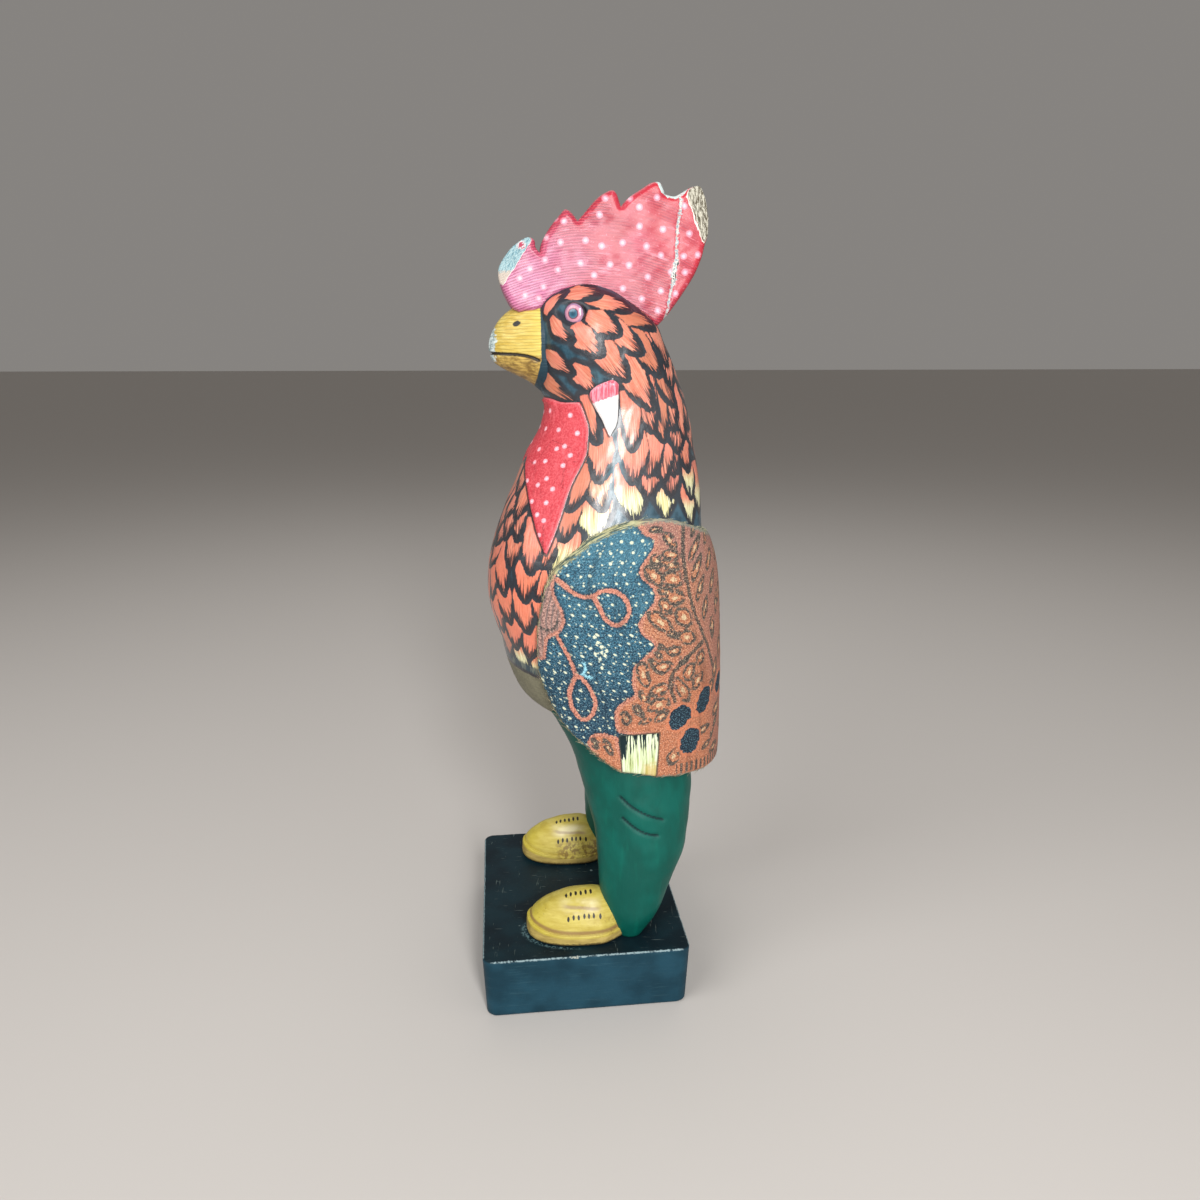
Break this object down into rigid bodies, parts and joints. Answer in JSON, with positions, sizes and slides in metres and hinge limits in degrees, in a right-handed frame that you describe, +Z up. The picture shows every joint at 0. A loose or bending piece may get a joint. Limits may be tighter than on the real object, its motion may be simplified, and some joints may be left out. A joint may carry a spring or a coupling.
{
  "type": "rooster figurine",
  "caption": "Carved and painted wooden rooster that stands upright in a jacket, trousers and shoes on a square block.",
  "frame": {"origin": "centre of the block's underside, which stands on the surface", "axes": "+Z up along the figure; the rooster faces -Y and its left side is +X"},
  "size_m": [0.1058, 0.1095, 0.3411],
  "materials": {
    "painted_carving": "hand-painted feathers, comb, beak, trousers and shoes, satin varnish, worn and chipped",
    "painted_block": "dark blue-green paint, satin, worn along its edges",
    "batik_cloth": "batik cotton glued over the carved jacket, frayed and rubbed along its edges"
  },
  "bodies": {
    "root": {"rooster": "painted_carving", "plinth": "painted_block"}
  },
  "joints": []
}
